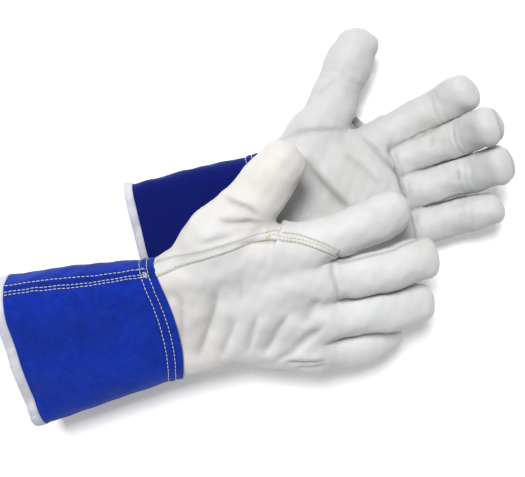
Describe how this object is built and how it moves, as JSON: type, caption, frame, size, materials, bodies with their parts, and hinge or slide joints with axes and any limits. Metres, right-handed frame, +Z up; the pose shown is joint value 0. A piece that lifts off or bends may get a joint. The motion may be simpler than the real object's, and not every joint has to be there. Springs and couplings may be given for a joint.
{
  "type": "welding gloves",
  "caption": "Leather welding gloves with gauntlet cuffs, the left one palm up on the table and the right one lying across it palm down.",
  "frame": {"origin": "on the table under the middle of the pair", "axes": "+X towards the fingertips, +Y towards the thumbs, +Z up from the table"},
  "size_m": [0.375, 0.302, 0.0932],
  "materials": {
    "hand_leather": "smooth grain leather, off-white",
    "cuff_leather": "napped split leather, royal blue",
    "binding_tape": "thin leather tape, pale grey",
    "thread": "twisted sewing thread, pale yellow",
    "liner_knit": "fine knit, light grey"
  },
  "bodies": {
    "left_hand_body": {"left_back_panel": "hand_leather", "left_cuff": "cuff_leather", "left_cuff_binding": "binding_tape", "left_cuff_stitching": "thread", "left_hand_liner": "liner_knit", "left_palm_panel": "hand_leather", "left_seam_tape": "hand_leather"},
    "left_index_body": {"left_index_fourchette": "hand_leather", "left_index_liner": "liner_knit", "left_index_wrap": "hand_leather"},
    "left_middle_body": {"left_middle_back": "hand_leather", "left_middle_front": "hand_leather", "left_middle_inner_fourchette": "hand_leather", "left_middle_liner": "liner_knit", "left_middle_outer_fourchette": "hand_leather"},
    "left_ring_body": {"left_ring_back": "hand_leather", "left_ring_front": "hand_leather", "left_ring_inner_fourchette": "hand_leather", "left_ring_liner": "liner_knit", "left_ring_outer_fourchette": "hand_leather"},
    "left_little_body": {"left_little_back": "hand_leather", "left_little_fourchette": "hand_leather", "left_little_front": "hand_leather", "left_little_liner": "liner_knit"},
    "left_thumb_body": {"left_thumb_back": "hand_leather", "left_thumb_front": "hand_leather", "left_thumb_liner": "liner_knit"},
    "right_hand_body": {"right_back_panel": "hand_leather", "right_cuff": "cuff_leather", "right_cuff_binding": "binding_tape", "right_cuff_stitching": "thread", "right_hand_liner": "liner_knit", "right_palm_panel": "hand_leather", "right_seam_tape": "hand_leather"},
    "right_index_body": {"right_index_fourchette": "hand_leather", "right_index_liner": "liner_knit", "right_index_wrap": "hand_leather"},
    "right_middle_body": {"right_middle_back": "hand_leather", "right_middle_front": "hand_leather", "right_middle_inner_fourchette": "hand_leather", "right_middle_liner": "liner_knit", "right_middle_outer_fourchette": "hand_leather"},
    "right_ring_body": {"right_ring_back": "hand_leather", "right_ring_front": "hand_leather", "right_ring_inner_fourchette": "hand_leather", "right_ring_liner": "liner_knit", "right_ring_outer_fourchette": "hand_leather"},
    "right_little_body": {"right_little_back": "hand_leather", "right_little_fourchette": "hand_leather", "right_little_front": "hand_leather", "right_little_liner": "liner_knit"},
    "right_thumb_body": {"right_thumb_back": "hand_leather", "right_thumb_front": "hand_leather", "right_thumb_liner": "liner_knit"}
  },
  "joints": [
    {"name": "right_glove_lift", "type": "slide", "parent": "left_hand_body", "child": "right_hand_body", "axis": [0, 0, 1], "range_m": [0, 0.15]},
    {"name": "left_index_flex", "type": "hinge", "parent": "left_hand_body", "child": "left_index_body", "pos_m": [0.10436, 0.08433, 0.0182], "axis": [0.3665, -0.9304, 0], "range_deg": [0, 30]},
    {"name": "left_middle_flex", "type": "hinge", "parent": "left_hand_body", "child": "left_middle_body", "pos_m": [0.12018, 0.05818, 0.0182], "axis": [0.309, -0.9511, 0], "range_deg": [0, 25]},
    {"name": "left_ring_flex", "type": "hinge", "parent": "left_hand_body", "child": "left_ring_body", "pos_m": [0.12639, 0.02927, 0.0182], "axis": [0.2588, -0.9659, 0], "range_deg": [0, 30]},
    {"name": "left_little_flex", "type": "hinge", "parent": "left_hand_body", "child": "left_little_body", "pos_m": [0.12449, -0.0004, 0.0182], "axis": [0.225, -0.9744, 0], "range_deg": [0, 20]},
    {"name": "left_thumb_flex", "type": "hinge", "parent": "left_hand_body", "child": "left_thumb_body", "pos_m": [0.04448, 0.07548, 0.0222], "axis": [0.9205, -0.3907, 0], "range_deg": [0, 30]},
    {"name": "right_index_flex", "type": "hinge", "parent": "right_hand_body", "child": "right_index_body", "pos_m": [0.03805, -0.01115, 0.07201], "axis": [-0.2117, 0.9283, 0.3056], "range_deg": [-20, 0]},
    {"name": "right_middle_flex", "type": "hinge", "parent": "right_hand_body", "child": "right_middle_body", "pos_m": [0.05018, -0.03778, 0.06318], "axis": [-0.1689, 0.9363, 0.3078], "range_deg": [-20, 0]},
    {"name": "right_ring_flex", "type": "hinge", "parent": "right_hand_body", "child": "right_ring_body", "pos_m": [0.05242, -0.06579, 0.054], "axis": [-0.091, 0.9463, 0.3102], "range_deg": [-20, 0]},
    {"name": "right_little_flex", "type": "hinge", "parent": "right_hand_body", "child": "right_little_body", "pos_m": [0.04653, -0.09351, 0.045], "axis": [-0.0997, 0.9455, 0.3101], "range_deg": [-20, 0]},
    {"name": "right_thumb_flex", "type": "hinge", "parent": "right_hand_body", "child": "right_thumb_body", "pos_m": [-0.02252, -0.01073, 0.06858], "axis": [-0.7904, 0.5798, 0.1979], "range_deg": [-20, 0]}
  ]
}
